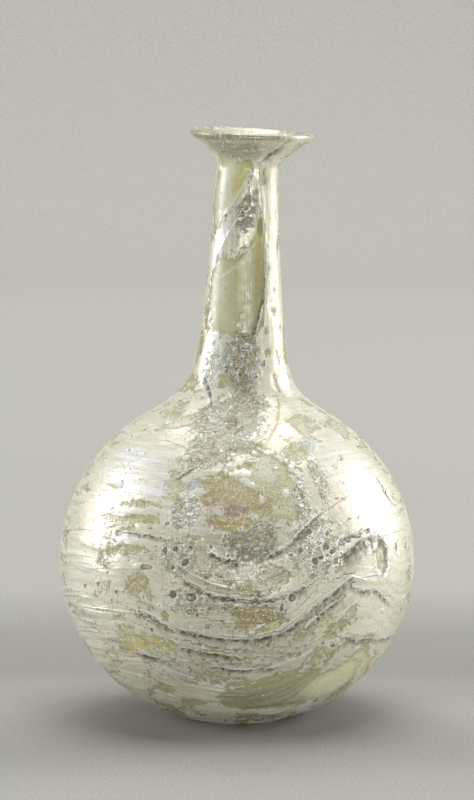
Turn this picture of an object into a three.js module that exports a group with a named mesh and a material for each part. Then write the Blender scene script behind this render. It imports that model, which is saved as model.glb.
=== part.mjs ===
// A free-blown glass unguentarium: a globular flask with a tall tapering neck and a funnel mouth.
// It was blown from one gather of glass, so it is one hollow solid, open only at the mouth.
// Units are millimetres and +Z is up. The origin is the middle of the base, on the plane it stands on.
import * as THREE from "three";

// Globe: as wide as it was blown, and a little flatter below its widest circle than above it
const globeRadius = 40.9;
const globeDrop = 37.8; // half axis of the lower half, before the base is flattened
const globeRise = 40; // half axis of the upper half
const globeWall = 1.6;

// Base: pressed flat, with a shallow kick in the middle that leaves a flat ring to stand on
const baseRadius = 14;
const baseThickness = 2.4;
const kickRadius = 7;
const kickHeight = 0.8;

// Shoulder: the hollow curve between the globe and the foot of the neck
const shoulderRadius = 21.5;
const shoulderRise = 14.4;
const shoulderPulls = new THREE.Vector2(0.48, 0.42); // how far its curve holds to the globe, and to the neck

// Neck: tapers upwards, more quickly near its foot
const neckFootRadius = 10.3;
const neckTopRadius = 7.1;
const neckLength = 43;
const neckWall = 2.0;
const taperBend = new THREE.Vector2(0.33, 0.34); // the taper's bend: share of the radii, share of the length

// Mouth: a funnel drawn out at one angle, ending in a rounded lip
const mouthRadius = 14.05;
const mouthRise = 8;
const mouthSlope = THREE.MathUtils.degToRad(41); // of the funnel's outside above the horizontal
const mouthPulls = new THREE.Vector2(0.15, 0.5); // how far its curve holds to the neck, and to the funnel
const lipThickness = 1.3;

// Handwork: the neck stands off the globe's axis and leans, and the mouth is off centre, tilted and warped
const neckSetOver = 1.15;
const neckLean = THREE.MathUtils.degToRad(1.5);
const mouthSetOver = 0.95;
const mouthDrawnFrom = 6; // how far below the funnel the drawing to one side begins
const mouthTilt = THREE.MathUtils.degToRad(2.9);
const mouthWarp = 0.4; // how much steeper the tilt is behind than in the middle, as a share of it

// How finely the round forms are faceted
const sidesAround = 48;
const kickSteps = 3;
const globeSteps = 10;
const shoulderSteps = 6;
const neckSteps = 4;
const mouthSteps = 6;
const lipSteps = 4;
const leastStep = 0.3; // the nearest that a ring of the inside comes to the floor

// Heights that follow from the sizes above
const bellyHeight = globeDrop * Math.sqrt(1 - (baseRadius / globeRadius) ** 2);
const shoulderHeight = bellyHeight + globeRise * Math.sqrt(1 - (shoulderRadius / globeRadius) ** 2);
const neckFootHeight = shoulderHeight + shoulderRise;
const neckTopHeight = neckFootHeight + neckLength;
const mouthHeight = neckTopHeight + mouthRise;

const glass = new THREE.MeshStandardMaterial({ color: 0xd8d8c0, roughness: 0.35, metalness: 0 });

// Every outline runs upwards along the outside, as (radius, height) points.

function kickOutline() {
  const start = new THREE.Vector2(0, kickHeight);
  const ring = new THREE.Vector2(kickRadius, 0);
  const crown = new THREE.Vector2(kickRadius / 2, kickHeight);
  return new THREE.QuadraticBezierCurve(start, crown, ring).getPoints(kickSteps);
}

function lowerGlobe() {
  const from = -Math.acos(baseRadius / globeRadius);
  return new THREE.EllipseCurve(0, bellyHeight, globeRadius, globeDrop, from, 0);
}

function upperGlobe() {
  const to = Math.acos(shoulderRadius / globeRadius);
  return new THREE.EllipseCurve(0, bellyHeight, globeRadius, globeRise, 0, to);
}

function neck() {
  const foot = new THREE.Vector2(neckFootRadius, neckFootHeight);
  const top = new THREE.Vector2(neckTopRadius, neckTopHeight);
  const bend = new THREE.Vector2(
    THREE.MathUtils.lerp(neckTopRadius, neckFootRadius, taperBend.x),
    THREE.MathUtils.lerp(neckFootHeight, neckTopHeight, taperBend.y),
  );
  return new THREE.QuadraticBezierCurve(foot, bend, top);
}

// A curve that leaves one point and meets another in the directions given. Each pull says for how much
// of the distance between them the curve holds to that end's direction.
function sweep(from, leaving, to, arriving, pulls) {
  const reach = from.distanceTo(to);
  const first = from.clone().addScaledVector(leaving, pulls.x * reach);
  const second = to.clone().addScaledVector(arriving, -pulls.y * reach);
  return new THREE.CubicBezierCurve(from, first, second, to);
}

function shoulder() {
  const [below, above] = [upperGlobe(), neck()];
  return sweep(below.getPoint(1), below.getTangent(1), above.getPoint(0), above.getTangent(0), shoulderPulls);
}

const funnel = new THREE.Vector2(Math.cos(mouthSlope), Math.sin(mouthSlope));
const funnelInwards = new THREE.Vector2(-funnel.y, funnel.x);

function funnelEnd() {
  const lipRadius = lipThickness / 2;
  return new THREE.Vector2(
    mouthRadius - lipRadius * (1 - funnel.y),
    mouthHeight - lipRadius * (1 + funnel.x),
  );
}

function mouth() {
  return sweep(neck().getPoint(1), neck().getTangent(1), funnelEnd(), funnel, mouthPulls);
}

// The rounded lip, from the outside of the funnel over to its inside.
function lipOutline() {
  const lipRadius = lipThickness / 2;
  const middle = funnelEnd().addScaledVector(funnelInwards, lipRadius);
  const from = mouthSlope - Math.PI / 2;
  const lip = new THREE.EllipseCurve(middle.x, middle.y, lipRadius, lipRadius, from, from + Math.PI);
  return lip.getPoints(lipSteps);
}

function wallAt(height) {
  const upShoulder = THREE.MathUtils.smoothstep(height, shoulderHeight, neckFootHeight);
  const upMouth = THREE.MathUtils.smoothstep(height, neckTopHeight, mouthHeight);
  const below = THREE.MathUtils.lerp(globeWall, neckWall, upShoulder);
  return THREE.MathUtils.lerp(below, lipThickness, upMouth);
}

// The curves of the wall in order from the base up, with the number of steps that each one takes.
const wallCurves = [
  [lowerGlobe(), globeSteps],
  [upperGlobe(), globeSteps],
  [shoulder(), shoulderSteps],
  [neck(), neckSteps],
  [mouth(), mouthSteps],
];

function outside() {
  return wallCurves.flatMap(([curve, steps], i) => curve.getPoints(steps).slice(i === 0 ? 0 : 1));
}

// The inside follows the outside at the wall's thickness, and stops at the floor.
function inside() {
  const wall = wallCurves.flatMap(([curve, steps], i) => {
    const ts = Array.from({ length: steps + 1 }, (_, step) => step / steps).slice(i === 0 ? 0 : 1);
    return ts.map((t) => {
      const point = curve.getPoint(t);
      const along = curve.getTangent(t);
      return point.addScaledVector(new THREE.Vector2(-along.y, along.x), wallAt(point.y));
    });
  });
  const floorDepth = (bellyHeight - baseThickness) / (globeDrop - globeWall);
  const floorRadius = (globeRadius - globeWall) * Math.sqrt(1 - floorDepth ** 2);
  const aboveFloor = wall.filter((point) => point.y > baseThickness + leastStep);
  return [new THREE.Vector2(floorRadius, baseThickness), ...aboveFloor];
}

function flaskOutline() {
  const kick = kickOutline();
  const floor = kick.map((p) => new THREE.Vector2(p.x, p.y + baseThickness));
  const lip = lipOutline().slice(1, -1);
  return [...kick, ...outside(), ...lip, ...inside().reverse(), ...floor.reverse()];
}

// Moves each ring as the glassworker left it: neck and mouth set over along +X, and the mouth sunk there.
function handwork(geometry) {
  const position = geometry.getAttribute("position");
  for (let i = 0; i < position.count; i++) {
    const [x, y, z] = [position.getX(i), position.getY(i), position.getZ(i)];
    const onNeck = THREE.MathUtils.smoothstep(z, shoulderHeight, neckFootHeight);
    const onMouth = THREE.MathUtils.smoothstep(z, neckTopHeight - mouthDrawnFrom, mouthHeight);
    const leaning = Math.tan(neckLean) * Math.max(0, z - neckFootHeight);
    const sinking = Math.tan(mouthTilt) * (1 + (mouthWarp * y) / mouthRadius);
    position.setXYZ(
      i,
      x + neckSetOver * onNeck + leaning + mouthSetOver * onMouth,
      y,
      z - x * sinking * onMouth,
    );
  }
  return geometry;
}

function flask() {
  const turned = new THREE.LatheGeometry(flaskOutline(), sidesAround).rotateX(Math.PI / 2);
  const mesh = new THREE.Mesh(handwork(turned), glass);
  mesh.name = "flask";
  return mesh;
}

const unguentarium = new THREE.Group();
unguentarium.add(flask());

export default unguentarium;
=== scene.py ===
import math
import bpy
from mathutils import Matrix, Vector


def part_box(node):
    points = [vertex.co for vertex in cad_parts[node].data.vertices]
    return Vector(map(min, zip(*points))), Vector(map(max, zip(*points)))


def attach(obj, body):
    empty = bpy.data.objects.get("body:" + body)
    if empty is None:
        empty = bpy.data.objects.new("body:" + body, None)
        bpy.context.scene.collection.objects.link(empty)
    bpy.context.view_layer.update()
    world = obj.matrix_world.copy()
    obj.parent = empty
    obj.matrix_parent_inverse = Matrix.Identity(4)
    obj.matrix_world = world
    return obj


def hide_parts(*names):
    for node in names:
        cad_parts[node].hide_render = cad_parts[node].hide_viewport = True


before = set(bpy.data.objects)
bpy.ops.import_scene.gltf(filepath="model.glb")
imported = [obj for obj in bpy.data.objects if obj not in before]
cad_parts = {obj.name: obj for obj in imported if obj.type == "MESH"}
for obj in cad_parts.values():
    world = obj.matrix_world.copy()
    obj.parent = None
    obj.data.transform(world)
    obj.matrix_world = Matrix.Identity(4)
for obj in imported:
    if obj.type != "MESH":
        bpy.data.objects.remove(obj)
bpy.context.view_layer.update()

from types import SimpleNamespace

import bpy
import numpy as np
from mathutils import Vector
from mathutils.bvhtree import BVHTree

# The view: the flask is seen from the front, from a little above its mouth, as in the photograph.
# The eye stands 900 mm in front of the flask's axis, and looks at a point above the globe's middle.
frame_wide, frame_high = 474, 800  # the photograph's pixels
sensor = 36.0  # mm, along the frame's long side
focal_length = 176.9  # mm
eye = Vector((0, -0.900, 0.1822))
aim = Vector((0, 0, 0.0730))


def add_object(name, data):
    """Sets up a camera, mesh or light in the scene."""
    thing = bpy.data.objects.new(name, data)
    bpy.context.scene.collection.objects.link(thing)
    return thing


camera = add_object("camera", bpy.data.cameras.new("camera"))
camera.data.sensor_width = sensor
camera.data.lens = focal_length
camera.location = eye
look = (aim - eye).to_track_quat("-Z", "Y")
camera.rotation_euler = look.to_euler()
bpy.context.scene.camera = camera


def sight(across, down):
    """The direction in which the eye sees a point of the photograph, given in its pixels."""
    pixels = frame_high * focal_length / sensor
    return look @ Vector(((across - frame_wide / 2) / pixels, (frame_high / 2 - down) / pixels, -1))


# The flask: one free-blown vessel of yellow-green glass, a globe with a tall neck and a funnel mouth.
# It was blown on a pipe, pressed flat below, and its mouth was opened and rounded in the fire.
# These are the solid's own sizes, in millimetres, and the globe's width is read from the part's box.
mm = 0.001
low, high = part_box("flask")
globe_radius = (high[1] - low[1]) / 2 / mm
globe_drop, globe_rise, globe_wall = 37.8, 40.0, 1.6
base_radius, base_thickness = 14.0, 2.4
kick_radius, kick_height = 7.0, 0.8
shoulder_radius, shoulder_rise, shoulder_pulls = 21.5, 14.4, (0.48, 0.42)
neck_foot_radius, neck_top_radius, neck_length, neck_wall = 10.3, 7.1, 43.0, 2.0
taper_bend = (0.33, 0.34)
mouth_radius, mouth_rise, mouth_slope, mouth_pulls = 14.05, 8.0, math.radians(41), (0.15, 0.5)
lip_thickness = 1.3
neck_set_over, neck_lean = 1.15, math.radians(1.5)
mouth_set_over, mouth_drawn_from, mouth_tilt, mouth_warp = 0.95, 6.0, math.radians(2.9), 0.4
floor_step = 0.3  # the nearest that a ring of the inside comes to the floor
curve_points = 200  # along each curve, before its points are spaced out evenly

belly_height = globe_drop * math.sqrt(1 - (base_radius / globe_radius) ** 2)
shoulder_height = belly_height + globe_rise * math.sqrt(1 - (shoulder_radius / globe_radius) ** 2)
neck_foot_height = shoulder_height + shoulder_rise
neck_top_height = neck_foot_height + neck_length
mouth_height = neck_top_height + mouth_rise


def smooth(value, start, end):
    """From 0 to 1, with no corner at either end."""
    share = np.clip((value - start) / (end - start), 0, 1)
    return share * share * (3 - 2 * share)


def arc(middle, reach, start, end):
    """Part of an ellipse, with its half axes given as its reach."""
    turn = np.linspace(start, end, curve_points)
    return np.column_stack((middle[0] + reach[0] * np.cos(turn), middle[1] + reach[1] * np.sin(turn)))


def bend(*points):
    """A Bezier curve from the first point to the last, pulled by the points between them."""
    share = np.linspace(0, 1, curve_points)[:, None]
    points = [np.array(point, float) for point in points]
    while len(points) > 1:
        points = [a + (b - a) * share for a, b in zip(points, points[1:])]
    return points[0]


def sweep(start, leaving, end, arriving, pulls):
    """A curve between two points in the directions given, each end pulled by a share of the reach."""
    reach = np.linalg.norm(end - start)
    leaving = leaving / np.linalg.norm(leaving) * pulls[0] * reach
    arriving = arriving / np.linalg.norm(arriving) * pulls[1] * reach
    return bend(start, start + leaving, end - arriving, end)


def outside_outline():
    """The outside from the base's rim up to the lip, as (radius, height) points."""
    foot_turn = math.acos(base_radius / globe_radius)
    shoulder_turn = math.acos(shoulder_radius / globe_radius)
    lower = arc((0, belly_height), (globe_radius, globe_drop), -foot_turn, 0)
    upper = arc((0, belly_height), (globe_radius, globe_rise), 0, shoulder_turn)
    foot = np.array((neck_foot_radius, neck_foot_height))
    top = np.array((neck_top_radius, neck_top_height))
    taper = (
        neck_top_radius + (neck_foot_radius - neck_top_radius) * taper_bend[0],
        neck_foot_height + neck_length * taper_bend[1],
    )
    shoulder = sweep(upper[-1], upper[-1] - upper[-2], foot, taper - foot, shoulder_pulls)
    mouth = sweep(top, top - taper, funnel_end, funnel, mouth_pulls)
    return np.vstack((lower, upper[1:], shoulder[1:], bend(foot, taper, top)[1:], mouth[1:]))


def inwards(outline):
    """The inner face of the wall that has this outside."""
    along = np.gradient(outline, axis=0)
    along /= np.linalg.norm(along, axis=1)[:, None]
    heights = outline[:, 1]
    wall = globe_wall + (neck_wall - globe_wall) * smooth(heights, shoulder_height, neck_foot_height)
    wall += (lip_thickness - wall) * smooth(heights, neck_top_height, mouth_height)
    inner = outline + np.column_stack((-along[:, 1], along[:, 0])) * wall[:, None]
    return inner[inner[:, 1] > base_thickness + floor_step]


def even(outline, spacing):
    """The same outline with its points a given distance apart."""
    steps = np.linalg.norm(np.diff(outline, axis=0), axis=1)
    travelled = np.concatenate(([0], np.cumsum(steps)))
    places = np.linspace(0, travelled[-1], max(2, round(travelled[-1] / spacing) + 1))
    return np.column_stack([np.interp(places, travelled, outline[:, axis]) for axis in (0, 1)])


funnel = np.array((math.cos(mouth_slope), math.sin(mouth_slope)))
lip_radius = lip_thickness / 2
funnel_end = np.array((
    mouth_radius - lip_radius * (1 - funnel[1]),
    mouth_height - lip_radius * (1 + funnel[0]),
))
lip_middle = funnel_end + np.array((-funnel[1], funnel[0])) * lip_radius
lip = arc(lip_middle, (lip_radius, lip_radius), mouth_slope - math.pi / 2, mouth_slope + math.pi / 2)
kick = bend((0, kick_height), (kick_radius / 2, kick_height), (kick_radius, 0))
outside = outside_outline()
inside = inwards(outside)[::-1]

skin_step = 0.66  # how far apart the points of the globe's outside lie
most_sides, fewest_sides = 384, 12
crowded = 0.72  # of the spacing: where they'd lie closer than this, a ring has half as many points
neck_inside = (inside[:, 1] <= neck_top_height) & (inside[:, 1] > shoulder_height)
stretches = [  # outline, spacing, share of the outside's relief at its two ends
    (np.vstack((kick, [[base_radius, 0]])), skin_step, 0.2, 0.6),
    (outside[outside[:, 1] < shoulder_height], skin_step, 1, 1),
    (outside[outside[:, 1] >= shoulder_height], 0.56, 1, 1),
    (lip, 0.42, 1, 0.5),
    (inside[inside[:, 1] > neck_top_height], 0.8, 0.5, 0.4),
    (inside[neck_inside], 1.6, 0.4, 0.3),
    (inside[inside[:, 1] <= shoulder_height], 2.2, 0.3, 0.3),
    (np.vstack((inside[-1], kick[::-1] + (0, base_thickness))), 2.2, 0, 0),
]


def sides_at(radius, spacing):
    """How many points go round a ring: halved until they are about as far apart as the rings are."""
    sides = most_sides
    while sides > fewest_sides and 2 * math.pi * radius / sides < crowded * spacing:
        sides //= 2
    return sides


rings = []  # radius, height, points round, share of the outside's relief
for outline, spacing, relief_from, relief_to in stretches:
    spaced = even(outline, spacing)
    shares = np.linspace(relief_from, relief_to, len(spaced))
    rings += [(r, z, sides_at(r, spacing), share) for (r, z), share in zip(spaced[1:], shares[1:])]

points, relief_shares, faces = [], [], []


def add_ring(radius, height, sides, share):
    """Puts one ring's points in, and says where they start and how many there are."""
    start = len(points)
    turn = np.arange(sides) / sides * 2 * math.pi
    points.extend(zip(radius * np.cos(turn), radius * np.sin(turn), [height] * sides))
    relief_shares.extend([share] * sides)
    return start, sides


def join_rings(lower, upper):
    """Faces between two rings, where one may have twice the points of the other, or just as many."""
    (a, fine), (b, coarse), flipped = lower, upper, False
    if fine < coarse:
        (a, fine), (b, coarse), flipped = upper, lower, True
    step = fine // coarse
    for i in range(coarse):
        low_side = [a + (i * step + k) % fine for k in range(step + 1)]
        face = low_side + [b + (i + 1) % coarse, b + i]
        faces.append(face[::-1] if flipped else face)


# The kick's middle and the floor's are single points, and the last ring shrank to the second of them.
points.append((0, 0, kick_height))
relief_shares.append(0)
built = [add_ring(*ring) for ring in rings[:-1]]
first, last = built[0], built[-1]
faces += [[0, first[0] + (i + 1) % first[1], first[0] + i] for i in range(first[1])]
for lower, upper in zip(built, built[1:]):
    join_rings(lower, upper)
points.append((0, 0, kick_height + base_thickness))
relief_shares.append(0)
floor_middle = len(points) - 1
faces += [[last[0] + i, last[0] + (i + 1) % last[1], floor_middle] for i in range(last[1])]


def worked(places):
    """Moves each ring as the glassworker left it: neck and mouth set over, and the mouth sunk at one side."""
    x, y, z = places.T
    on_neck = smooth(z, shoulder_height, neck_foot_height)
    on_mouth = smooth(z, neck_top_height - mouth_drawn_from, mouth_height)
    leaning = math.tan(neck_lean) * np.maximum(0, z - neck_foot_height)
    moved = x + neck_set_over * on_neck + leaning + mouth_set_over * on_mouth
    sinking = math.tan(mouth_tilt) * (1 + mouth_warp * y / mouth_radius)
    return np.column_stack((moved, y, z - x * sinking * on_mouth))


places = worked(np.array(points))
skin = bpy.data.meshes.new("flask_glass")
skin.from_pydata((places * mm).tolist(), [], faces)
skin.update()
normals = np.empty(len(places) * 3)
skin.vertex_normals.foreach_get("vector", normals)
normals = normals.reshape(-1, 3)
tree = BVHTree.FromPolygons([Vector(place * mm) for place in places], faces)


def on_glass(across, down):
    """The place on the flask, in millimetres, that the photograph shows at a pixel, and its normal."""
    place, normal, _, _ = tree.ray_cast(eye, sight(across, down))
    if place is None:
        raise ValueError(f"nothing of the flask at {across}, {down}")
    return np.array(place) / mm, np.array(normal)


# The weathering: in the ground the glass turned to a pearly crust in thin layers, which has flaked
# away in patches to the bare, olive glass, and is pitted, grooved and stained brown where soil lay.
# Each mark is given where the photograph shows it, in its pixels, with its half sizes in millimetres.
def srgb(*colour):
    """A colour as a screen shows it, from 0 to 255, turned into the amounts of light that shaders add."""
    return tuple(c / 255 / 12.92 if c < 10 else ((c / 255 + 0.055) / 1.055) ** 2.4 for c in colour)


olive = srgb(174, 167, 124)
dark_olive = srgb(154, 149, 112)
tan = srgb(190, 174, 136)
grey_green = srgb(198, 197, 168)
milky = srgb(216, 217, 192)
pale_green = srgb(200, 204, 172)
lime = srgb(200, 196, 134)
rose = srgb(166, 140, 138)
blue_grey = srgb(196, 202, 206)

white = srgb(248, 248, 246)
chalk = srgb(246, 244, 234)
cream = srgb(236, 232, 212)
silver = srgb(226, 223, 202)
sand = srgb(226, 218, 198)
grey = srgb(178, 174, 152)
drab = srgb(126, 120, 92)
umber = srgb(160, 152, 137)
sea_green = srgb(156, 166, 152)
lavender = srgb(196, 188, 174)
soil = srgb(116, 104, 82)
gold = srgb(178, 158, 103)
khaki = srgb(150, 134, 90)
soil_brown = srgb(186, 168, 132)
salmon = srgb(220, 190, 166)

bare_patches = [  # across, down, half width, half height, turn, how bare, colour
    (229, 186, 3.8, 6.4, 0, 1.3, milky),
    (218, 205, 1.8, 5.0, 0, 1.2, milky),
    (241, 180, 1.8, 4.0, -20, 1.3, lime),
    (217, 290, 1.8, 9.0, 0, 0.9, milky),
    (228, 298, 3.4, 8.0, 0, 1.3, pale_green),
    (241, 300, 3.4, 8.0, 0, 1.5, srgb(190, 187, 147)),
    (257, 246, 1.2, 4.2, -16, 1.3, lime),
    (252, 268, 3.0, 5.6, -20, 1.5, srgb(174, 169, 118)),
    (254, 296, 2.9, 6.8, 0, 1.6, srgb(160, 154, 102)),
    (249, 316, 3.0, 4.0, 0, 1.5, srgb(160, 155, 108)),
    (273, 312, 0.7, 1.2, 20, 1.2, soil_brown),
    (271, 301, 0.5, 0.9, 0, 1.0, soil_brown),
    (278, 357, 0.7, 2.8, 10, 1.2, soil_brown),
    (276, 383, 0.6, 3.0, 0, 1.2, soil_brown),
    (268, 352, 1.1, 0.6, 0, 1.1, soil_brown),
    (276, 215, 0.4, 2.0, 0, 0.9, soil_brown),
    (277, 247, 0.5, 2.4, 0, 0.9, grey_green),
    (274, 291, 0.6, 0.9, 0, 0.9, grey_green),
    (280, 330, 0.4, 1.4, 0, 0.8, soil_brown),
    (266, 331, 0.5, 0.9, 0, 0.8, soil_brown),
    (261, 228, 0.9, 2.0, 0, 1.3, srgb(150, 142, 84)),
    (236, 388, 1.4, 2.4, 0, 0.8, grey_green),
    (264, 180, 0.9, 1.4, 0, 1.1, olive),
    (221, 383, 1.5, 2.2, 0, 1.0, olive),
    (304, 424, 3.6, 3.4, 10, 1.3, srgb(184, 181, 154)),
    (340, 428, 4.4, 2.4, 30, 1.2, srgb(196, 193, 168)),
    (168, 423, 6.0, 3.4, 20, 0.8, srgb(200, 197, 174)),
    (300, 450, 3.0, 2.4, 0, 0.7, olive),
    (314, 446, 2.2, 3.6, 10, 0.6, blue_grey),
    (114, 485, 3.4, 0.8, 4, 1.0, grey_green),
    (138, 503, 5.2, 0.9, 4, 1.0, olive),
    (141, 518, 5.6, 1.2, 4, 0.9, olive),
    (128, 550, 5.4, 1.2, 3, 0.6, olive),
    (171, 487, 2.4, 3.0, 0, 1.0, grey_green),
    (194, 485, 1.8, 1.4, 20, 0.9, blue_grey),
    (213, 490, 2.8, 2.4, 0, 0.6, olive),
    (237, 493, 3.0, 2.8, 0, 1.0, tan),
    (230, 523, 5.6, 1.7, -3, 1.0, gold),
    (193, 538, 2.4, 0.9, 0, 0.8, gold),
    (236, 511, 2.8, 1.3, 0, 0.9, rose),
    (211, 504, 1.2, 1.2, 0, 0.8, rose),
    (212, 527, 1.1, 1.4, 0, 0.6, rose),
    (270, 475, 3.8, 3.8, 0, 1.0, grey_green),
    (281, 496, 5.0, 4.6, 0, 1.0, grey_green),
    (262, 505, 2.4, 3.2, 0, 0.7, olive),
    (262, 575, 6.0, 2.2, -4, 1.8, srgb(140, 134, 102)),
    (236, 572, 4.4, 2.2, 6, 1.8, srgb(140, 128, 90)),
    (247, 588, 2.0, 2.8, 10, 1.1, khaki),
    (326, 571, 0.8, 1.2, 0, 1.0, gold),
    (232, 600, 2.4, 0.9, 0, 0.3, tan),
    (138, 584, 2.8, 2.2, 20, 1.0, olive),
    (165, 616, 0.9, 1.2, 0, 0.9, gold),
    (202, 612, 1.5, 0.8, 0, 0.8, gold),
    (128, 646, 2.6, 1.2, 12, 1.0, gold),
    (152, 644, 7.4, 2.6, 6, 0.62, lime),
    (124, 634, 3.4, 2.4, 30, 0.55, srgb(192, 184, 142)),
    (146, 644, 1.0, 0.9, 0, 0.9, gold),
    (171, 646, 1.2, 1.0, 0, 0.9, gold),
    (262, 617, 6.2, 2.2, -2, 1.3, khaki),
    (243, 627, 2.2, 1.7, 0, 1.2, khaki),
    (256, 631, 2.2, 1.0, 0, 0.9, lime),
    (272, 627, 1.6, 0.8, 0, 0.9, lime),
    (212, 655, 3.4, 1.6, 6, 0.9, lime),
    (215, 652, 1.0, 0.9, 0, 0.6, gold),
    (229, 660, 1.0, 0.9, 0, 0.8, gold),
    (247, 660, 1.6, 0.9, 0, 0.9, lime),
    (336, 629, 2.8, 1.6, 30, 1.0, olive),
    (352, 610, 2.4, 1.6, 30, 0.9, grey_green),
    (258, 700, 8.0, 4.2, 0, 1.3, srgb(152, 148, 118)),
    (291, 692, 7.4, 6.4, 0, 1.6, srgb(162, 160, 128)),
    (330, 684, 7.0, 5.0, 20, 0.9, srgb(240, 238, 208)),
    (352, 668, 4.6, 4.6, 30, 0.62, srgb(232, 224, 182)),
    (368, 664, 2.8, 1.6, 50, 1.0, srgb(214, 196, 128)),
    (160, 690, 5.0, 1.6, 20, 0.8, olive),
    (190, 702, 5.0, 1.6, 12, 0.8, olive),
    (112, 660, 4.0, 2.6, 30, 0.6, srgb(214, 208, 172)),
]

crust_patches = [  # across, down, half width, half height, turn, how firmly it holds on, colour
    (235, 425, 11.0, 8.0, 0, 0.8, silver),
    (235, 428, 10.0, 6.0, 0, 0.0, srgb(242, 240, 224)),
    (166, 423, 8.0, 4.6, 20, 0.2, srgb(200, 196, 176)),
    (185, 512, 3.6, 4.0, -30, 1.1, srgb(255, 252, 252)),
    (166, 488, 2.0, 3.0, 0, 1.2, srgb(250, 252, 255)),
    (303, 500, 1.6, 6.0, 0, 0.9, white),
    (250, 545, 10.0, 3.0, 0, 0.5, silver),
    (205, 570, 8.0, 5.0, 0, 0.7, lavender),
    (225, 630, 8.0, 3.0, 0, 0.6, silver),
    # Partly painted shade: these darker tints down the middle, which the side lamps light least, are in part
    # the crust's own khaki and grey.
    (240, 562, 9.0, 7.0, 0, 0.0, srgb(146, 141, 120)),
    (240, 625, 12.0, 5.0, 0, 0.0, srgb(166, 158, 130)),
    (240, 650, 11.0, 4.0, 0, 0.0, srgb(176, 168, 148)),
    (240, 708, 14.0, 2.4, 0, 0.3, cream),
    (180, 696, 10.0, 3.0, 14, 0.2, cream),
    (375, 612, 7.0, 7.0, 0, 0.3, cream),
    (322, 550, 5.0, 6.0, 0, 0.0, cream),
    (145, 440, 12.0, 8.0, 20, 0.9, silver),
    # Partly painted highlight: these bluish-white patches lie where the left soft box's reflection falls, and
    # partly the crust's own white.
    (118, 475, 9.0, 7.0, 0, 0.4, srgb(248, 249, 250)),
    (137, 460, 9.0, 4.0, 5, 0.8, srgb(248, 250, 253)),
    (145, 491, 4.4, 1.6, 0, 0.8, white),
    (128, 538, 4.4, 1.1, 0, 0.8, white),
    (170, 411, 1.6, 0.9, 10, 0.9, salmon),
    (84, 530, 6.0, 15.0, 0, 0.9, cream),
    (82, 620, 7.0, 10.0, 0, 0.8, cream),
    (358, 485, 11.0, 13.0, 0, 1.1, srgb(240, 238, 228)),
    (398, 560, 5.0, 20.0, 0, 1.1, cream),
    (320, 545, 7.0, 8.0, 0, 0.7, silver),
    (372, 600, 7.0, 8.0, 0, 0.9, cream),
    (330, 600, 8.0, 5.0, 20, 0.6, silver),
    (190, 560, 12.0, 6.0, 0, 0.5, silver),
    (240, 584, 13.0, 4.0, 0, 0.3, grey),
    (190, 605, 7.0, 5.0, 0, 0.7, silver),
    (245, 650, 16.0, 8.0, 0, 0.5, lavender),
    (180, 672, 12.0, 4.0, 20, 0.4, lavender),
    # Partly painted shade: the drab band just below the lip stands for soil and for the shade under the lip's
    # flare.
    (240, 150, 9.4, 3.4, -4, 1.6, drab),
    (294, 142, 4.0, 2.4, 10, 1.2, cream),
    (287, 141, 1.2, 0.8, 0, 1.0, gold),
    (274, 158, 3.4, 1.6, 35, 1.2, cream),
    (272, 200, 2.4, 9.0, 0, 1.4, cream),
    (273, 280, 2.4, 27.0, 0, 1.3, cream),
    (276, 385, 2.2, 9.0, 0, 1.0, sand),
    (224, 212, 2.0, 1.6, -40, 1.4, white),
    (222, 240, 2.2, 6.4, -25, 1.5, white),
    (246, 215, 2.6, 6.2, -18, 1.8, umber),
    (243, 352, 3.0, 6.0, 0, 1.6, srgb(184, 180, 160)),
    (246, 380, 3.0, 5.0, 0, 1.4, srgb(176, 172, 154)),
    (262, 382, 2.2, 5.0, 0, 1.2, cream),
    (285, 711, 9.0, 1.8, 3, 1.5, cream),
    (140, 676, 10.0, 6.0, 20, 0.2, cream),
    # Partly painted shade: these darker tints down the middle, which the side lamps light least, are in part
    # the crust's own khaki and grey.
    (220, 548, 4.6, 3.0, 0, 0.0, srgb(160, 154, 132)),
    (232, 573, 9.0, 4.0, 0, 0.0, srgb(142, 136, 112)),
    (265, 580, 6.0, 4.0, 0, 0.0, srgb(142, 136, 106)),
    (240, 606, 9.0, 1.8, 0, 0.2, srgb(142, 134, 116)),
    (378, 602, 8.0, 9.0, 0, 0.2, srgb(252, 246, 224)),
    (90, 580, 8.0, 8.0, 0, 0.1, srgb(246, 244, 230)),
    (110, 606, 8.0, 6.0, 0, 0.1, srgb(242, 238, 218)),
    (335, 625, 6.0, 5.0, 0, 0.0, srgb(232, 222, 184)),
    (318, 546, 5.0, 7.0, 0, 0.3, srgb(255, 253, 242)),
    (212, 366, 2.6, 7.0, 0, 0.6, srgb(250, 250, 244)),
    (286, 493, 0.8, 0.8, 0, 4.5, white),
    (268, 482, 0.4, 0.5, 0, 4.5, white),
    (297, 499, 0.7, 1.6, 20, 4.0, cream),
    (262, 499, 0.4, 1.4, 0, 4.0, cream),
    (276, 467, 0.5, 0.3, 0, 4.0, white),
    (226, 358, 1.4, 3.4, 0, 1.2, sea_green),
    (213, 350, 2.2, 5.0, 0, 1.2, srgb(240, 244, 240)),
    (211, 392, 1.4, 4.4, 0, 1.2, white),
    (217, 334, 0.9, 0.8, 0, 1.5, white),
]

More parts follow.
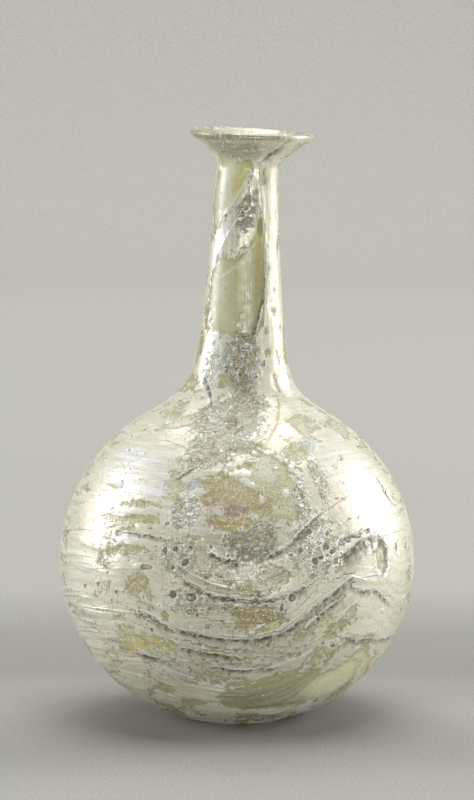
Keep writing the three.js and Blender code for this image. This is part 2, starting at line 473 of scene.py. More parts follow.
grainy_places = [  # across, down, half width, half height, turn, how grainy
    (228, 420, 8.4, 7.6, 0, 1.0),
    (212, 440, 6.0, 3.6, 20, 0.9),
    (250, 402, 5.0, 3.4, -10, 0.9),
    (238, 446, 7.0, 2.6, 0, 0.8),
    (262, 424, 2.4, 5.0, 0, 0.5),
    (204, 458, 7.4, 3.8, 14, 0.8),
    (244, 362, 4.0, 9.5, 0, 1.0),
    (212, 372, 3.4, 7.5, 0, 0.6),
    (247, 214, 2.6, 5.6, -18, 0.62),
    (240, 152, 9.0, 2.6, 0, 0.35),
    (185, 512, 3.8, 4.4, -30, 1.1),
    (303, 500, 1.8, 6.4, 0, 1.1),
    (255, 540, 7.0, 5.0, 0, 0.8),
    (178, 555, 5.0, 5.0, 0, 0.8),
    (315, 545, 7.0, 8.0, 0, 0.9),
    (230, 585, 14.0, 8.0, 0, 0.40),
    (185, 600, 6.0, 4.0, 0, 0.6),
    (240, 645, 20.0, 8.0, 0, 0.42),
    (200, 660, 16.0, 8.0, 0, 0.42),
    (120, 600, 9.0, 5.0, 0, 0.34),
    (281, 500, 5.0, 5.0, 0, 0.34),
    (330, 620, 9.0, 8.0, 0, 0.45),
    (320, 480, 2.4, 7.0, 0, 0.8),
]

grooves = [  # half width in millimetres, then the places that the groove runs through
    (0.75, (343, 559), (350, 552), (358, 546), (366, 542), (375, 539)),
    (0.26, (340, 541), (348, 537), (358, 533), (368, 529)),
    (0.38, (313, 610), (330, 597), (348, 582)),
    (0.28, (352, 587), (362, 592), (375, 590), (387, 602)),
    (0.24, (310, 625), (325, 611), (340, 601)),
    (0.34, (190, 584), (205, 594), (230, 600), (262, 602), (285, 598), (302, 589)),
    (0.28, (182, 631), (205, 637), (250, 641), (285, 633), (302, 620)),
    (0.24, (214, 668), (242, 671), (272, 669)),
    (0.40, (140, 613), (152, 618), (166, 627)),
    (0.34, (212, 555), (222, 560), (236, 563)),
    (0.28, (272, 556), (286, 548), (300, 535), (316, 518)),
    (0.28, (345, 638), (356, 641), (366, 640), (390, 637)),
    (0.30, (142, 655), (152, 658), (162, 660)),
    (0.26, (190, 650), (212, 655), (236, 658)),
    (0.22, (266, 262), (266, 285), (263, 302), (259, 318), (254, 334)),
    (0.40, (266, 157), (270, 154), (275, 151)),
    (0.18, (378, 480), (385, 490)),
    (0.18, (384, 492), (392, 502)),
    (0.18, (207, 382), (210, 392), (212, 402)),
    (0.22, (130, 533), (150, 536), (165, 540)),
    (0.22, (178, 478), (184, 475), (192, 470)),
]

seams = [  # gold-brown lines where a layer of crust ends, given as the grooves are
    (0.34, (278, 372), (279, 405), (277, 425), (268, 442), (254, 449), (228, 451)),
    (0.20, (259, 172), (262, 200), (264, 235), (266, 262), (266, 300)),
    (0.16, (168, 441), (180, 446), (195, 452), (215, 453)),
    (0.18, (205, 589), (222, 593), (244, 598)),
    (0.14, (318, 617), (330, 609), (343, 601)),
    (0.14, (128, 656), (142, 656), (150, 658)),
    (0.10, (318, 516), (336, 504), (355, 492)),
]

ridges = [  # edges of layers that stand up, given as the grooves are
    (0.20, (66, 601), (84, 606), (100, 608), (120, 611), (140, 613)),
    (0.30, (175, 560), (192, 574), (212, 583), (232, 588)),
    (0.30, (345, 552), (356, 541), (372, 533)),
    (0.26, (318, 600), (335, 588), (350, 576), (366, 580)),
    (0.22, (160, 622), (185, 629), (215, 634), (250, 636), (280, 629), (300, 615)),
    (0.18, (68, 565), (90, 568), (125, 569)),
    (0.18, (108, 664), (140, 676), (176, 685)),
    (0.16, (125, 682), (150, 690), (176, 696)),
    (0.12, (127, 434), (146, 433), (165, 437)),
    (0.12, (114, 447), (142, 446), (170, 447)),
    (0.12, (106, 459), (140, 461), (176, 466)),
    (0.34, (273, 425), (266, 437), (256, 443)),
    (0.16, (249, 173), (238, 195), (228, 212), (217, 228)),
    (0.13, (251, 178), (242, 195), (233, 210), (221, 226)),
    (0.13, (247, 200), (238, 218), (228, 236), (220, 252)),
    (0.14, (244, 256), (234, 268), (223, 277)),
    (0.20, (260, 172), (262, 200), (264, 235), (266, 280), (264, 325)),
]

pits = [  # across, down, radius, and how many times as high as it is wide
    (382, 556, 2.3, 1.9),
    (396, 547, 0.8, 1.6),
    (189, 612, 0.7, 1.0),
    (191, 597, 1.1, 1.0),
    (292, 598, 0.9, 1.0),
    (281, 609, 0.7, 1.0),
    (186, 562, 0.7, 1.1),
    (326, 547, 0.8, 1.0),
    (315, 561, 1.0, 0.8),
    (336, 561, 0.7, 1.2),
    (147, 622, 0.5, 1.0),
    (152, 630, 0.6, 1.0),
    (159, 620, 0.4, 1.0),
    (145, 567, 2.0, 0.3),
    (98, 584, 0.6, 1.0),
    (116, 592, 0.6, 1.0),
    (85, 586, 0.5, 1.0),
    (333, 645, 0.7, 1.0),
    (165, 407, 0.5, 1.0),
    (144, 430, 0.5, 1.0),
    (153, 428, 0.4, 1.0),
    (127, 434, 0.5, 1.0),
    (114, 444, 0.5, 1.0),
    (107, 459, 0.5, 1.0),
    (173, 594, 0.9, 1.0),
    (185, 563, 0.8, 1.0),
    (175, 549, 0.7, 1.0),
    (165, 551, 0.6, 1.0),
    (300, 550, 0.7, 1.0),
    (291, 555, 0.6, 1.0),
    (309, 531, 0.7, 1.0),
    (327, 533, 0.6, 1.0),
    (262, 545, 0.5, 1.0),
    (225, 536, 0.5, 1.0),
    (224, 145, 0.35, 1.0),
    (260, 145, 0.35, 1.0),
    (280, 141, 0.3, 1.0),
    (226, 371, 0.45, 1.3),
]

frothy_places = [  # across, down, half width, half height, turn, how many blisters
    (325, 552, 4.5, 6.0, -30, 0.9),
    (287, 603, 3.0, 2.0, 0, 0.8),
    (176, 558, 4.5, 5.0, 0, 0.7),
    (190, 612, 4.0, 3.0, 0, 0.5),
    (232, 545, 9.0, 6.0, 0, 0.35),
    (245, 365, 4.0, 8.0, 0, 0.5),
    (150, 622, 3.0, 2.6, 0, 0.5),
]

outer = np.array(relief_shares) > 0.45  # the points that marks can reach: all but those well inside
heights = places[:, 2]
# The side that the photograph hides is given the globe's marks over again, part of a turn further round.
further = math.radians(165)
round_axis = np.array((
    (math.cos(further), -math.sin(further), 0),
    (math.sin(further), math.cos(further), 0),
    (0, 0, 1),
))
neck_row = 465  # marks above this row of the photograph lie on the neck and shoulder, and aren't repeated
far_off = 20.0  # where no mark reaches: many times any mark's size


def from_mark(across, down, wide, tall, turn, behind=True):
    """How far each point lies from a mark, as a share of the mark's half sizes."""
    middle, out = on_glass(across, down)
    nearest = np.full(len(places), far_off)
    for _ in range(2 if behind and down > neck_row else 1):
        level = np.cross((0, 0, 1), out)
        level /= np.linalg.norm(level)
        upward = np.cross(out, level)
        offset = places - middle
        u, v = offset @ level, offset @ upward
        cos, sin = math.cos(math.radians(turn)), math.sin(math.radians(turn))
        share = np.hypot((u * cos + v * sin) / wide, (v * cos - u * sin) / tall)
        nearest = np.where(outer & (normals @ out > 0.1), np.minimum(nearest, share), nearest)
        middle, out = round_axis @ middle, round_axis @ out
    return nearest


def covered(mark, softness=0.45):
    """How fully a mark covers each point, fading at its edge."""
    return 1 - smooth(from_mark(*mark), 1 - softness, 1 + softness)


def from_lines(lines):
    """The signed distance to the nearest line, as a share of that line's half width."""
    nearest = np.full(len(places), far_off)
    for half_width, *pixels in lines:
        through = [on_glass(*pixel) for pixel in pixels]
        lengths = list(zip(through, through[1:]))
        if min(down for _, down in pixels) > neck_row:
            again = [(round_axis @ place, round_axis @ out) for place, out in through]
            lengths += list(zip(again, again[1:]))
        for (start, out), (end, _) in lengths:
            along = end - start
            offset = places - start
            share = np.clip(offset @ along / (along @ along), 0, 1)
            distance = np.linalg.norm(offset - share[:, None] * along, axis=1) / half_width
            side = np.sign(offset @ np.cross(out, along))
            closer = distance < np.abs(nearest)
            nearest[closer] = (distance * side)[closer]
    return nearest


def tinted(tints, colour, share):
    """The points' tints, each drawn towards a colour by its own share."""
    return tints + (np.array(colour) - tints) * share[:, None]


# The layers sag in front and rise at the right, between the base and the shoulder.
swag_turns = (-120, -60, -36, -19, 4, 23, 30, 41, 56, 64, 110)  # degrees round from the front
swag_rises = (0, 5.0, 5.3, 2.0, 0, 4.4, 7.0, 11.7, 9.6, 6.0, 0)  # mm
turn_about = np.degrees(np.arctan2(places[:, 0], -places[:, 1]))
turn_behind = (turn_about - math.degrees(further) + 180) % 360 - 180
rise = np.interp(turn_about, swag_turns, swag_rises) + np.interp(turn_behind, swag_turns, swag_rises)
rise *= smooth(heights, 2, 16) * (1 - smooth(heights, 44, 66))
flow = heights - rise
on_neck = smooth(heights, shoulder_height + 4, neck_foot_height + 2)
at_left = smooth(turn_about, -15, -50) * smooth(heights, 62, 50)
# Their edges show most at the left and low down, and not on the neck.
strata = np.maximum(0.25, np.maximum(at_left, smooth(heights, 18, 8))) * (1 - on_neck)

# The crust holds on below nought, and has flaked off above it. It is firmest at the lip.
bare = np.full(len(places), -0.22) + 0.08 * on_neck
glass_tint = np.tile(olive, (len(places), 1))
crust_tint = np.tile(silver, (len(places), 1))
under_mouth = smooth(heights, neck_top_height + 1, neck_top_height + 4)
crust_tint = tinted(crust_tint, cream, 0.7 * on_neck)
glass_tint = tinted(glass_tint, grey_green, under_mouth)
at_lip = smooth(heights, mouth_height - 1.7, mouth_height - 1.1)
bare -= 1.2 * at_lip
# Partly painted shade: the lip's crust is tinted darker, which stands for the shade inside the mouth.
crust_tint = tinted(crust_tint, srgb(156, 151, 126), at_lip)
near_base = 1 - smooth(heights, 3, 9)
bare += 0.1 * near_base
glass_tint = tinted(glass_tint, dark_olive, near_base)

for *mark, strength, colour in crust_patches:
    cover = covered(mark, 0.6)
    bare -= (0.40 * strength) * cover
    crust_tint = tinted(crust_tint, colour, 0.85 * cover)
for *mark, strength, colour in bare_patches:
    cover = covered(mark)
    bare += (0.75 * strength) * cover
    glass_tint = tinted(glass_tint, colour, 0.9 * cover)

pitting = np.full(len(places), 0.02)
for *mark, strength in frothy_places:
    pitting = np.maximum(pitting, strength * covered(mark, 0.6))
graininess = 0.22 - 0.06 * on_neck - 0.12 * at_lip
for *mark, strength in grainy_places:
    graininess = np.maximum(graininess, strength * covered(mark, 0.5))
pit = np.full(len(places), far_off)
for across, down, radius, stretch in pits:
    pit = np.minimum(pit, from_mark(across, down, radius, radius * stretch, 0, radius < 1))


def store(mesh, name, values):
    """Keeps one value or colour for each point of the mesh under a name."""
    coloured = np.ndim(values) == 2
    layer = mesh.attributes.new(name, "FLOAT_COLOR" if coloured else "FLOAT", "POINT")
    if coloured:
        layer.data.foreach_set("color", np.column_stack((values, np.ones(len(values)))).ravel())
    else:
        layer.data.foreach_set("value", np.asarray(values, float))


kept = {
    "relief": relief_shares, "bare": bare, "neck": on_neck, "flow": flow, "strata": strata,
    "groove": from_lines(grooves), "seam": from_lines(seams), "ridge": from_lines(ridges),
    "pit": pit, "pitting": pitting, "graininess": graininess,
    "glass_tint": glass_tint, "crust_tint": crust_tint,
}
for name, values in kept.items():
    store(skin, name, values)


class Wiring:
    """Adds nodes to one tree, with each input given as a value or as the socket that feeds it."""

    def __init__(self, tree):
        self.tree = tree

    def feed(self, node, inputs):
        for key, value in inputs.items():
            if isinstance(value, bpy.types.NodeSocket):
                self.tree.links.new(value, node.inputs[key])
            else:
                node.inputs[key].default_value = value
        return node

    def add(self, kind, inputs=(), **settings):
        node = self.tree.nodes.new(kind)
        for name, value in settings.items():
            setattr(node, name, value)
        return self.feed(node, dict(inputs))

    def math(self, operation, a, b=0.0, c=0.0, clamp=False):
        node = self.add("ShaderNodeMath", {0: a, 1: b, 2: c}, operation=operation, use_clamp=clamp)
        return node.outputs[0]

    def plus(self, a, b):
        return self.math("ADD", a, b)

    def minus(self, a, b, clamp=False):
        return self.math("SUBTRACT", a, b, clamp=clamp)

    def times(self, a, b):
        return self.math("MULTIPLY", a, b)

    def swayed(self, base, noise, reach):
        """A value moved up where a noise is above a half, and down where it is below."""
        return self.math("MULTIPLY_ADD", self.minus(noise, 0.5), reach, base)

    def ramp(self, value, start, end, low=0.0, high=1.0, kind="SMOOTHSTEP"):
        ends = {0: value, 1: start, 2: end, 3: low, 4: high}
        return self.add("ShaderNodeMapRange", ends, interpolation_type=kind).outputs[0]

    def line(self, distance, outer, inner):
        """One on the line itself, falling to nothing on both its sides."""
        return self.ramp(self.math("ABSOLUTE", distance), outer, inner)

    def moved(self, place, by):
        return self.add("ShaderNodeVectorMath", {0: place, 1: by}, operation="ADD").outputs[0]

    def scaled(self, place, shares):
        return self.add("ShaderNodeVectorMath", {0: place, 1: shares}, operation="MULTIPLY").outputs[0]

    def in_mm(self, place):
        return self.scaled(place, (1 / mm, 1 / mm, 1 / mm))

    def drift(self, place, scale, reach):
        """A push to one side or another that changes from place to place."""
        noise = self.add("ShaderNodeTexNoise", {"Vector": place, "Scale": scale, "Detail": 2.0})
        return self.scaled(noise.outputs["Color"], (reach, reach, reach))

    def noise(self, place, scale, detail=3.0, roughness=0.5, distortion=0.0):
        inputs = {"Vector": place, "Scale": scale, "Detail": detail, "Roughness": roughness}
        return self.add("ShaderNodeTexNoise", {**inputs, "Distortion": distortion}).outputs[0]

    def cells(self, place, scale):
        """The distance to the middle of a round cell, and two random draws that the cell keeps."""
        cell = self.add("ShaderNodeTexVoronoi", {"Vector": place, "Scale": scale, "Randomness": 1.0})
        draws = self.add("ShaderNodeSeparateXYZ", {0: cell.outputs["Color"]}).outputs
        return cell.outputs["Distance"], draws[0], draws[1]

    def mix(self, share, a, b):
        a, b = (colour if isinstance(colour, bpy.types.NodeSocket) else (*colour, 1) for colour in (a, b))
        node = self.add("ShaderNodeMix", {0: share, 6: a, 7: b}, data_type="RGBA", blend_type="MIX")
        return node.outputs[2]

    def named(self, name, coloured=False):
        """What the mesh keeps under a name, in either kind of tree."""
        if isinstance(self.tree, bpy.types.GeometryNodeTree):
            node = self.add("GeometryNodeInputNamedAttribute", {"Name": name}, data_type="FLOAT")
            return next(socket for socket in node.outputs if socket.name == "Attribute" and socket.enabled)
        node = self.add("ShaderNodeAttribute", attribute_name=name)
        return node.outputs["Color" if coloured else "Fac"]


def along_layers(wiring, place):
    """A place in mm, with its height counted along the sagging layers."""
    axes = wiring.add("ShaderNodeSeparateXYZ", {0: place}).outputs
    return wiring.add("ShaderNodeCombineXYZ", {0: axes[0], 1: axes[1], 2: wiring.named("flow")}).outputs[0]


def bareness(wiring, place):
    """Above nought where the crust is off. It let go along the blown bubble's stretch, which runs
    level on the globe and upright on the neck."""
    level = wiring.scaled(along_layers(wiring, place), (0.12, 0.12, 0.27))
    upright = wiring.scaled(place, (0.26, 0.26, 0.08))
    flakes = wiring.noise(level, 1.0, 8.0, 0.70, 0.4)
    slivers = wiring.noise(upright, 1.0, 8.0, 0.68, 0.4)
    flaking = wiring.plus(flakes, wiring.times(wiring.named("neck"), wiring.minus(slivers, flakes)))
    crumbs = wiring.minus(wiring.noise(place, 0.8, 4.0, 0.7), 0.5)
    crumbliness = wiring.math("MULTIPLY_ADD", wiring.named("graininess"), 2.6, 0.9)
    return wiring.plus(wiring.swayed(wiring.named("bare"), flaking, 3.9), wiring.times(crumbs, crumbliness))


def layer_edges(wiring, place):
    """Waves, from -1 to 1, of the layers' edges, which run round the vessel in long lines."""
    flowing = along_layers(wiring, place)
    sheets = wiring.noise(wiring.scaled(flowing, (0.010, 0.010, 0.14)), 1.0, 2.0, 0.5)
    waves = wiring.math("SINE", wiring.times(sheets, 75.0))
    coming = wiring.ramp(wiring.noise(wiring.scaled(flowing, (0.04, 0.04, 0.16)), 1.0), 0.42, 0.58)
    return wiring.times(wiring.times(waves, coming), wiring.named("strata"))


def blisters(wiring, place, grain):
    """How deep in a blister or a pit a place lies, and how far up its rim. There are more blisters
    where the ground held water."""
    distance, draw, size_draw = wiring.cells(wiring.moved(place, wiring.drift(place, 0.5, 1.6)), 0.6)
    open_here = wiring.math("LESS_THAN", draw, wiring.named("pitting"))
    reach = wiring.math("MULTIPLY_ADD", size_draw, 0.26, 0.16)
    unevenness = wiring.times(wiring.minus(grain, 0.5), 1.6)
    share = wiring.plus(wiring.math("DIVIDE", distance, reach), unevenness)
    bowl = wiring.times(wiring.ramp(share, 0.95, 0.35), open_here)
    rim = wiring.times(wiring.ramp(share, 1.75, 1.1), open_here)
    placed = wiring.plus(wiring.named("pit"), unevenness)
    pitted = wiring.math("MAXIMUM", bowl, wiring.ramp(placed, 1.1, 0.5))
    rim = wiring.math("MAXIMUM", rim, wiring.ramp(placed, 1.7, 1.1))
    return pitted, wiring.minus(rim, pitted, clamp=True)


def weathering(wiring, place):
    """What the relief and the finish share, so that they keep together."""
    grain = wiring.noise(place, 0.9, 5.0, 0.65)
    pitted, rim = blisters(wiring, place, grain)
    return bareness(wiring, place), layer_edges(wiring, place), pitted, rim, grain


relief_sizes = {  # mm
    "Crust thickness": 0.18, "Grain depth": 0.7, "Pit depth": 0.45, "Groove depth": 0.25,
    "Layer step": 0.14, "Rim height": 0.12, "Bare level": 0.12,
}


def relief_tree():
    """Raises the crust off the bare glass, and sinks the pits and grooves into it."""
    tree = bpy.data.node_groups.new("crust_relief", "GeometryNodeTree")
    wiring = Wiring(tree)
    sockets = [("Glass", "Geometry"), *((name, "Float") for name in relief_sizes), ("Finish", "Material")]
    for name, kind in sockets:
        tree.interface.new_socket(name=name, in_out="INPUT", socket_type="NodeSocket" + kind)
    tree.interface.new_socket(name="Glass", in_out="OUTPUT", socket_type="NodeSocketGeometry")
    given = wiring.add("NodeGroupInput").outputs
    place = wiring.in_mm(wiring.add("GeometryNodeInputPosition").outputs[0])
    spread, waves, pitted, rim, grain = weathering(wiring, place)
    ruggedness = wiring.math("MULTIPLY_ADD", wiring.named("graininess"), 0.9, 0.1)
    height = wiring.minus(0.0, given["Bare level"])
    for pattern, size in (
        (wiring.ramp(spread, 0.10, -0.10), "Crust thickness"),
        (wiring.times(wiring.minus(grain, 0.5), ruggedness), "Grain depth"),
        (wiring.ramp(waves, -0.2, 1.0), "Layer step"),
        (wiring.minus(0.0, pitted), "Pit depth"),
        (rim, "Rim height"),
        (wiring.minus(0.0, wiring.line(wiring.named("groove"), 2.2, 0.4)), "Groove depth"),
        (wiring.line(wiring.named("ridge"), 2.4, 0.4), "Groove depth"),
    ):
        height = wiring.math("MULTIPLY_ADD", pattern, given[size], height)
    height = wiring.times(height, wiring.times(wiring.named("relief"), mm))
    outwards = wiring.add("GeometryNodeInputNormal").outputs[0]
    offset = wiring.add("ShaderNodeVectorMath", {0: outwards, "Scale": height}, operation="SCALE")
    moved = wiring.add("GeometryNodeSetPosition", {"Geometry": given["Glass"], "Offset": offset.outputs[0]})
    smoothed = wiring.add("GeometryNodeSetShadeSmooth", {"Geometry": moved.outputs[0]})
    real = wiring.add("GeometryNodeRealizeInstances", {0: smoothed.outputs[0]})
    dressed = {"Geometry": real.outputs[0], "Material": given["Finish"]}
    finished = wiring.add("GeometryNodeSetMaterial", dressed)
    wiring.add("NodeGroupOutput", {0: finished.outputs[0]})
    return tree


def finish_patterns(wiring):
    """Everything that the finish's colours, gloss and bump follow."""
    p = SimpleNamespace()
    p.place = wiring.in_mm(wiring.add("ShaderNodeTexCoord").outputs["Object"])
    p.spread, p.waves, p.pitted, p.rim, p.grain = weathering(wiring, p.place)
    p.neck = wiring.named("neck")
    p.foil = wiring.noise(p.place, 0.85, 3.0, 0.62, 0.6)
    p.fine = wiring.noise(p.place, 2.6, 3.0, 0.7)
    p.broad = wiring.noise(p.place, 0.09, 4.0, 0.6)
    flowing = along_layers(wiring, p.place)
    fibres = wiring.noise(wiring.scaled(p.place, (1.1, 1.1, 0.10)), 1.0, 4.0, 0.6)
    bands = wiring.noise(wiring.scaled(flowing, (0.05, 0.05, 1.0)), 1.0, 5.0, 0.68)
    p.drawn = wiring.plus(bands, wiring.times(p.neck, wiring.minus(fibres, bands)))
    p.bare = wiring.ramp(wiring.swayed(p.spread, p.fine, 0.5), -0.07, 0.09)
    p.grainy = wiring.ramp(wiring.swayed(wiring.named("graininess"), p.grain, 2.2), 0.4, 1.0)
    # Crumbled crust is a bed of small round grains, some white, some olive, darker between them.
    bedded = wiring.moved(flowing, wiring.drift(p.place, 0.7, 3.0))
    distance, draw, _ = wiring.cells(wiring.scaled(bedded, (0.75, 0.75, 1.25)), 1.0)
    p.dome = wiring.ramp(distance, 0.62, 0.08)
    p.whiteness = wiring.swayed(draw, p.foil, 3.4)
    return p


def crust_colour(wiring, p):
    """Pearly where it lies smooth, speckled where it's grainy, and beads, darker between them and flecked
    dark, where it crumbled.
    """
    tint = wiring.named("crust_tint", True)
    pearly = wiring.mix(wiring.ramp(p.drawn, 0.47, 0.60, 0.0, 0.6), tint, srgb(204, 200, 172))
    pearly = wiring.mix(wiring.ramp(p.drawn, 0.46, 0.36, 0.0, 0.6), pearly, white)
    pearly = wiring.mix(wiring.ramp(p.broad, 0.50, 0.66, 0.0, 0.6), pearly, sand)
    layer_lines = wiring.times(wiring.ramp(p.waves, 0.70, 0.95, 0.0, 0.6), wiring.ramp(p.grain, 0.44, 0.60))
    pearly = wiring.mix(layer_lines, pearly, srgb(146, 138, 110))
    pearly = wiring.mix(wiring.ramp(p.waves, -0.5, -0.95, 0.0, 0.6), pearly, white)
    speckled = wiring.mix(wiring.ramp(p.fine, 0.43, 0.34, 0.0, 0.6), pearly, srgb(120, 112, 92))
    speckled = wiring.mix(wiring.ramp(p.fine, 0.58, 0.66, 0.0, 0.6), speckled, chalk)
    speckled = wiring.mix(wiring.ramp(p.foil, 0.52, 0.62, 0.0, 0.35), speckled, srgb(236, 232, 214))
    crumbled = wiring.mix(wiring.ramp(p.dome, 0.34, 0.0, 0.0, 0.55), tint, srgb(132, 124, 88))
    crumbled = wiring.mix(wiring.ramp(p.whiteness, 0.22, -0.05, 0.0, 0.8), crumbled, srgb(152, 144, 102))
    white_beads = wiring.times(wiring.ramp(p.whiteness, 0.36, 0.46), p.dome)
    crumbled = wiring.mix(white_beads, crumbled, srgb(255, 255, 252))
    crumbled = wiring.mix(wiring.ramp(p.fine, 0.45, 0.39, 0.0, 0.85), crumbled, srgb(108, 100, 70))
    crust = wiring.mix(wiring.ramp(wiring.named("graininess"), 0.0, 0.35), pearly, speckled)
    return wiring.mix(p.grainy, crust, crumbled)


def glass_colour(wiring, p):
    """Bare glass: streaked, browned, hazed and flecked with left crust, and cleaner on neck and base."""
    glass = wiring.named("glass_tint", True)
    streaks = wiring.times(wiring.ramp(p.drawn, 0.48, 0.66), wiring.ramp(p.neck, 0.0, 1.0, 0.25, 0.10))
    glass = wiring.mix(streaks, glass, srgb(214, 210, 184))
    height = wiring.add("ShaderNodeSeparateXYZ", {0: p.place}).outputs[2]
    soiled = wiring.math("MULTIPLY_ADD", p.neck, -0.85, wiring.ramp(height, 14.0, 24.0, 0.3, 1.0))
    for share, colour in (
        (wiring.ramp(p.broad, 0.46, 0.62, 0.0, 0.30), srgb(156, 140, 98)),
        (wiring.ramp(p.foil, 0.52, 0.62, 0.0, 0.45), srgb(226, 224, 206)),
        (wiring.ramp(p.foil, 0.42, 0.32, 0.0, 0.35), srgb(140, 132, 92)),
        (wiring.ramp(p.fine, 0.57, 0.64, 0.0, 0.9), srgb(248, 246, 234)),
    ):
        glass = wiring.mix(wiring.times(share, soiled), glass, colour)
    return glass


def pinholes(wiring, p):
    """Dark specks a few tenths of a millimetre wide, scattered in clusters."""
    distance, draw, _ = wiring.cells(p.place, 1.1)
    crowding = wiring.ramp(wiring.noise(p.place, 0.16, 2.0), 0.50, 0.64, 0.02, 0.42)
    return wiring.times(wiring.ramp(distance, 0.26, 0.14), wiring.math("LESS_THAN", draw, crowding))


def soiled_colour(wiring, p, colour):
    """Soil in the crust's edges, pinholes, seams, grooves and pits, and the pearl that stands up by them; a
    painted highlight along one side of each groove, painted shade along the other, and a partly painted
    highlight on the ridges.
    """
    edge = wiring.times(wiring.ramp(p.spread, -0.10, -0.01), wiring.ramp(p.spread, 0.07, 0.01))
    stain = wiring.times(edge, wiring.ramp(p.grain, 0.46, 0.62, 0.0, 0.30))
    colour = wiring.mix(stain, colour, soil)
    colour = wiring.mix(wiring.times(pinholes(wiring, p), 0.75), colour, srgb(104, 96, 74))
    seam = wiring.line(wiring.swayed(wiring.named("seam"), p.fine, 2.2), 1.6, 0.5)
    seam = wiring.times(seam, wiring.ramp(p.grain, 0.36, 0.50, 0.4, 0.9))
    colour = wiring.mix(seam, colour, srgb(184, 166, 122))
    # Painted highlight along each groove's upper side and painted shade along its lower side, partly the
    # crust's own pale and grey banding.
    painted_highlight_side = wiring.times(wiring.ramp(p.wander, 0.9, 1.4), wiring.ramp(p.wander, 3.4, 2.0))
    colour = wiring.mix(wiring.times(painted_highlight_side, 0.55), colour, white)
    painted_shade_side = wiring.times(wiring.ramp(p.wander, -5.5, -1.5), wiring.ramp(p.wander, 0.4, -0.8))
    painted_shade_side = wiring.times(painted_shade_side, wiring.ramp(p.grain, 0.38, 0.54, 0.25, 0.85))
    colour = wiring.mix(painted_shade_side, colour, srgb(142, 134, 116))
    cut = wiring.times(p.cut, wiring.ramp(p.grain, 0.45, 0.56, 0.05, 0.85))
    colour = wiring.mix(cut, colour, srgb(92, 86, 74))
    # Partly painted highlight: the raised edges are drawn pale, both as pearl and as the light catching them.
    colour = wiring.mix(wiring.times(p.raised, 0.6), colour, srgb(240, 236, 216))
    colour = wiring.mix(wiring.times(p.rim, 0.65), colour, chalk)
    colour = wiring.mix(wiring.ramp(p.pitted, 0.05, 0.35, 0.0, 0.62), colour, srgb(104, 97, 72))
    healed = wiring.times(wiring.ramp(p.pitted, 0.45, 0.90), wiring.ramp(p.foil, 0.42, 0.52))
    return wiring.mix(wiring.times(healed, 0.85), colour, srgb(206, 200, 172))


def gloss(wiring, p, rugged):
    """Roughness: bare glass is the smoothest, and its streaks, grain and pits are duller."""
    rough = wiring.ramp(p.spread, -0.1, 0.1, 0.28, 0.20)
    rough = wiring.plus(rough, wiring.ramp(p.drawn, 0.45, 0.65, 0.0, 0.12))
    rough = wiring.plus(rough, wiring.ramp(p.grain, 0.45, 0.65, 0.0, 0.12))
    rough = wiring.minus(rough, wiring.times(rugged, 0.10))
    return wiring.math("MINIMUM", wiring.math("MAXIMUM", rough, wiring.times(p.pitted, 0.5)), 0.75)


def fine_relief(wiring, p, crusted, rugged):
    """The height, in mm, of what is too fine for the mesh."""
    height = wiring.times(crusted, 0.08)
    for pattern, share in (
        (p.fine, wiring.ramp(rugged, 0.0, 1.0, 0.015, 0.12)),
        (p.foil, wiring.ramp(rugged, 0.0, 1.0, 0.06, 0.42)),
        (p.dome, wiring.ramp(rugged, 0.0, 1.0, 0.0, 0.34)),
        (p.drawn, wiring.ramp(p.bare, 0.0, 1.0, 0.12, 0.03)),
        (wiring.ramp(p.waves, 0.2, 1.0), 0.10),
        (p.pitted, -0.4),
        (p.rim, 0.16),
        (p.cut, -0.25),
        (p.raised, 0.15),
    ):
        height = wiring.math("MULTIPLY_ADD", pattern, share, height)
    return height


def weathered_glass():
    """Cloudy bare glass and pearly crust in one finish, with the crust's edges stained by soil."""
    material = bpy.data.materials.new("weathered_glass")
    material.use_nodes = True
    wiring = Wiring(material.node_tree)
    p = finish_patterns(wiring)
    p.wander = wiring.swayed(wiring.swayed(wiring.named("groove"), p.foil, 5.4), p.fine, 3.0)
    p.cut = wiring.line(p.wander, 1.5, 0.4)
    p.raised = wiring.line(wiring.named("ridge"), 1.6, 0.5)
    crusted = wiring.minus(1.0, p.bare)
    rugged = wiring.times(p.grainy, crusted)
    colour = wiring.mix(p.bare, crust_colour(wiring, p), glass_colour(wiring, p))
    relief = fine_relief(wiring, p, crusted, rugged)
    bump = wiring.add("ShaderNodeBump", {"Height": relief, "Strength": 0.9, "Distance": mm})
    wiring.feed(material.node_tree.nodes["Principled BSDF"], {
        "Base Color": soiled_colour(wiring, p, colour),
        "Metallic": wiring.times(crusted, 0.20),
        "Roughness": gloss(wiring, p, rugged),
        "Normal": bump.outputs[0],
        "IOR": 1.5,
        "Coat Weight": 0.15,
        "Coat Roughness": 0.2,
    })
    return material


flask = add_object("flask_glass", skin)
relief = flask.modifiers.new("crust_relief", "NODES")
relief.node_group = relief_tree()
settings = {**relief_sizes, "Finish": weathered_glass()}
for socket in relief.node_group.interface.items_tree:
    if socket.name in settings:
        relief[socket.identifier] = settings[socket.name]
depsgraph = bpy.context.evaluated_depsgraph_get()
carved = bpy.data.meshes.new_from_object(flask.evaluated_get(depsgraph), preserve_all_data_layers=True,
                                         depsgraph=depsgraph)
flask.modifiers.clear()
flask.data = carved
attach(flask, "root")
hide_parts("flask")


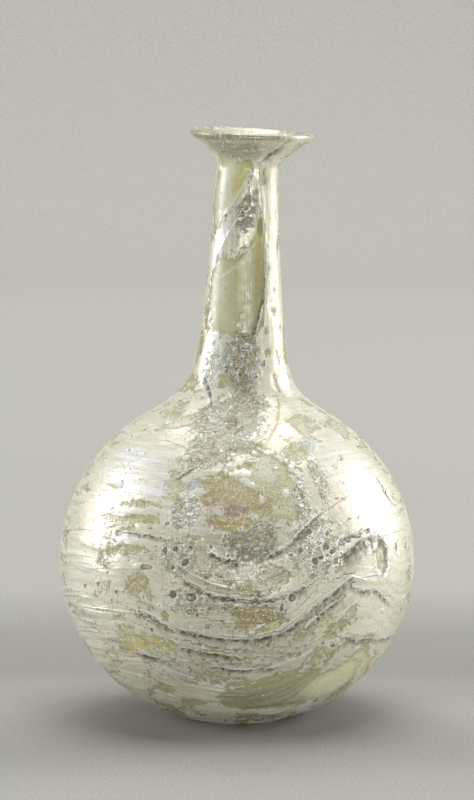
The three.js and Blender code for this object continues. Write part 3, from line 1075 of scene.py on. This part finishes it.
# The studio: a pale paper sheet runs level under the flask, far out on all sides, and sweeps up well
# behind it. Its grey is painted with the light's falloff from front to back and the flask's shadow round it.
sheet_front, sheet_back, sheet_bend = -2.6, 1.10, 0.40
sheet_wide, sheet_high = 2.6, 1.6
flat = [(y, 0.0) for y in np.linspace(sheet_front, sheet_back, 24)]
swept = [(sheet_back + sheet_bend * math.sin(turn), sheet_bend * (1 - math.cos(turn)))
         for turn in np.linspace(0, math.pi / 2, 24)[1:]]
raised = [(sheet_back + sheet_bend, z) for z in np.linspace(sheet_bend, sheet_high, 12)[1:]]
section = flat + swept + raised
corners = [(side * sheet_wide, y, z) for y, z in section for side in (-1, 1)]
strips = [(2 * i, 2 * i + 1, 2 * i + 3, 2 * i + 2) for i in range(len(section) - 1)]
sheet_mesh = bpy.data.meshes.new("studio_sheet")
sheet_mesh.from_pydata(corners, [], strips)
sheet_mesh.shade_smooth()
sheet = add_object("studio_sheet", sheet_mesh)

# Painted falloff and painted shadow: the darker greys from -0.05 to 0.10 m are the flask's shadow round its
# foot.
painted_sheet_greys = [  # metres along the sheet, and its grey there
    (-0.20, 158), (-0.09, 153), (-0.05, 141), (0.00, 151), (0.05, 125), (0.10, 131), (0.17, 152),
    (0.34, 151), (1.00, 167), (1.50, 161),
]
ramp_slope, ramp_start = 0.5, 0.1  # how metres along the sheet become a place on its colour ramp


def sheet_paper():
    """Pale warm grey paper with a fine tooth, its grey painted with the light's falloff and the flask's
    shadow.
    """
    material = bpy.data.materials.new("studio_sheet")
    material.use_nodes = True
    wiring = Wiring(material.node_tree)
    place = wiring.add("ShaderNodeTexCoord").outputs["Object"]
    where = wiring.add("ShaderNodeSeparateXYZ", {0: place}).outputs
    along = wiring.math("MULTIPLY_ADD", wiring.plus(where["Y"], where["Z"]), ramp_slope, ramp_start)
    shade = wiring.add("ShaderNodeValToRGB", {0: along})
    for _ in painted_sheet_greys[1:-1]:
        shade.color_ramp.elements.new(0.5)
    for element, (distance, grey_there) in zip(shade.color_ramp.elements, painted_sheet_greys):
        element.position = distance * ramp_slope + ramp_start
        element.color = (*srgb(grey_there + 1, grey_there, grey_there - 6), 1)
    tooth = wiring.ramp(wiring.noise(place, 1400.0, 3.0, 0.7), 0.32, 0.68, 0.84, 1.16, "LINEAR")
    toned = wiring.add("ShaderNodeVectorMath", {0: shade.outputs[0], "Scale": tooth}, operation="SCALE")
    shader = material.node_tree.nodes["Principled BSDF"]
    wiring.feed(shader, {"Base Color": toned.outputs[0], "Roughness": 0.9})
    return material


sheet_mesh.materials.append(sheet_paper())


# The lamps: a soft box at each side, a broad one overhead, a low strip in front, and one that lights
# the sheet behind. A faint grey surround fills what they leave.
at_flask, at_sheet = Vector((0, 0, 0.05)), Vector((0, 1.5, 0.2))
lamps = [  # name, place, what it points at, width and height in metres, watts, spread in degrees
    ("left_softbox", (-0.84, 0.16, 0.32), at_flask, (0.45, 0.45), 5.5, 180),
    ("right_softbox", (0.80, 0.28, 0.30), at_flask, (0.50, 0.45), 6.0, 180),
    ("top_softbox", (0.15, 0.20, 2.00), at_flask, (1.60, 1.40), 34.0, 180),
    ("front_fill", (0.15, -1.25, 0.10), at_flask, (1.30, 0.24), 1.56, 60),
    ("back_softbox", (0.0, 0.95, 1.60), at_sheet, (2.00, 0.40), 16.0, 180),
]
for name, stand, target, (wide, tall), power, spread in lamps:
    light = bpy.data.lights.new(name, "AREA")
    light.shape = "RECTANGLE"
    light.size, light.size_y = wide, tall
    light.energy = power
    light.spread = math.radians(spread)
    lamp = add_object(name, light)
    lamp.location = stand
    lamp.rotation_euler = (target - lamp.location).to_track_quat("-Z", "Y").to_euler()

surround = bpy.data.worlds.new("studio")
surround.use_nodes = True
faint = {"Color": (0.80, 0.81, 0.82, 1), "Strength": 0.02}
Wiring(surround.node_tree).feed(surround.node_tree.nodes["Background"], faint)
bpy.context.scene.world = surround
bpy.context.scene.view_settings.view_transform = "Standard"
